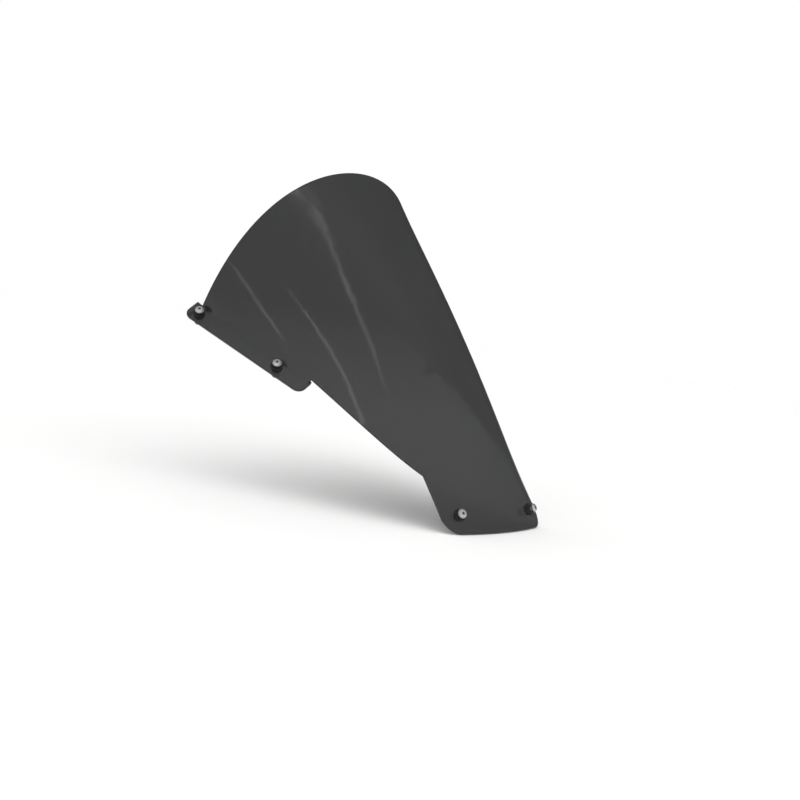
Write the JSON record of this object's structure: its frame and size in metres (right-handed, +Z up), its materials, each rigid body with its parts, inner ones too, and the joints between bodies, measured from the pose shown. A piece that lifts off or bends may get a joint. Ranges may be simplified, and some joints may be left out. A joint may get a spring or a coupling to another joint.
{
  "type": "windshield screen",
  "caption": "Smoke acrylic motorcycle windscreen with a curved shell, side flanges and nose tongue, held by screws in rubber well nuts.",
  "frame": {"origin": "on the centre plane, midway between the two nose fixings, level with their screw heads", "axes": "+Z up, -Y towards the front of the motorcycle, +X towards the left side of the rider"},
  "size_m": [0.3564, 0.3632, 0.3638],
  "materials": {
    "smoke_acrylic": "gloss",
    "black_rubber": "matt",
    "brass": "satin",
    "nylon": "satin",
    "steel": "satin"
  },
  "bodies": {
    "windscreen": {"screen": "smoke_acrylic", "well_nut_nose_right": "black_rubber", "insert_nose_right": "brass", "well_nut_nose_left": "black_rubber", "insert_nose_left": "brass", "well_nut_side_front_right": "black_rubber", "insert_side_front_right": "brass", "well_nut_side_front_left": "black_rubber", "insert_side_front_left": "brass", "well_nut_side_rear_right": "black_rubber", "insert_side_rear_right": "brass", "well_nut_side_rear_left": "black_rubber", "insert_side_rear_left": "brass"},
    "washer_body_nose_right": {"washer_nose_right": "nylon"},
    "screw_body_nose_right": {"screw_nose_right": "steel"},
    "washer_body_nose_left": {"washer_nose_left": "nylon"},
    "screw_body_nose_left": {"screw_nose_left": "steel"},
    "washer_body_side_front_right": {"washer_side_front_right": "nylon"},
    "screw_body_side_front_right": {"screw_side_front_right": "steel"},
    "washer_body_side_front_left": {"washer_side_front_left": "nylon"},
    "screw_body_side_front_left": {"screw_side_front_left": "steel"},
    "washer_body_side_rear_right": {"washer_side_rear_right": "nylon"},
    "screw_body_side_rear_right": {"screw_side_rear_right": "steel"},
    "washer_body_side_rear_left": {"washer_side_rear_left": "nylon"},
    "screw_body_side_rear_left": {"screw_side_rear_left": "steel"}
  },
  "joints": [
    {"name": "lift_nose_right", "type": "slide", "parent": "windscreen", "child": "washer_body_nose_right", "axis": [-0.3, -0.8279, 0.4739], "range_m": [0, 0.0056]},
    {"name": "turn_nose_right", "type": "hinge", "parent": "washer_body_nose_right", "child": "screw_body_nose_right", "pos_m": [-0.0625, 0.006, -0.0025], "axis": [-0.3, -0.8279, 0.4739], "range_deg": [0, 2521]},
    {"name": "lift_nose_left", "type": "slide", "parent": "windscreen", "child": "washer_body_nose_left", "axis": [0.3, -0.8279, 0.4739], "range_m": [0, 0.0056]},
    {"name": "turn_nose_left", "type": "hinge", "parent": "washer_body_nose_left", "child": "screw_body_nose_left", "pos_m": [0.0625, 0.006, -0.0025], "axis": [0.3, -0.8279, 0.4739], "range_deg": [0, 2521]},
    {"name": "lift_side_front_right", "type": "slide", "parent": "windscreen", "child": "washer_body_side_front_right", "axis": [-0.4888, -0.4358, 0.7557], "range_m": [0, 0.0056]},
    {"name": "turn_side_front_right", "type": "hinge", "parent": "washer_body_side_front_right", "child": "screw_body_side_front_right", "pos_m": [-0.13876, 0.23355, 0.11968], "axis": [-0.4888, -0.4358, 0.7557], "range_deg": [0, 2521]},
    {"name": "lift_side_front_left", "type": "slide", "parent": "windscreen", "child": "washer_body_side_front_left", "axis": [0.4888, -0.4358, 0.7557], "range_m": [0, 0.0056]},
    {"name": "turn_side_front_left", "type": "hinge", "parent": "washer_body_side_front_left", "child": "screw_body_side_front_left", "pos_m": [0.13876, 0.23355, 0.11968], "axis": [0.4888, -0.4358, 0.7557], "range_deg": [0, 2521]},
    {"name": "lift_side_rear_right", "type": "slide", "parent": "windscreen", "child": "washer_body_side_rear_right", "axis": [-0.4888, -0.4358, 0.7557], "range_m": [0, 0.0056]},
    {"name": "turn_side_rear_right", "type": "hinge", "parent": "washer_body_side_rear_right", "child": "screw_body_side_rear_right", "pos_m": [-0.16683, 0.33831, 0.16194], "axis": [-0.4888, -0.4358, 0.7557], "range_deg": [0, 2521]},
    {"name": "lift_side_rear_left", "type": "slide", "parent": "windscreen", "child": "washer_body_side_rear_left", "axis": [0.4888, -0.4358, 0.7557], "range_m": [0, 0.0056]},
    {"name": "turn_side_rear_left", "type": "hinge", "parent": "washer_body_side_rear_left", "child": "screw_body_side_rear_left", "pos_m": [0.16683, 0.33831, 0.16194], "axis": [0.4888, -0.4358, 0.7557], "range_deg": [0, 2521]}
  ],
  "couplings": [
    {"joint": "turn_nose_right", "follows": "lift_nose_right", "rad_per_m": 7854},
    {"joint": "turn_nose_left", "follows": "lift_nose_left", "rad_per_m": 7854},
    {"joint": "turn_side_front_right", "follows": "lift_side_front_right", "rad_per_m": 7854},
    {"joint": "turn_side_front_left", "follows": "lift_side_front_left", "rad_per_m": 7854},
    {"joint": "turn_side_rear_right", "follows": "lift_side_rear_right", "rad_per_m": 7854},
    {"joint": "turn_side_rear_left", "follows": "lift_side_rear_left", "rad_per_m": 7854}
  ]
}
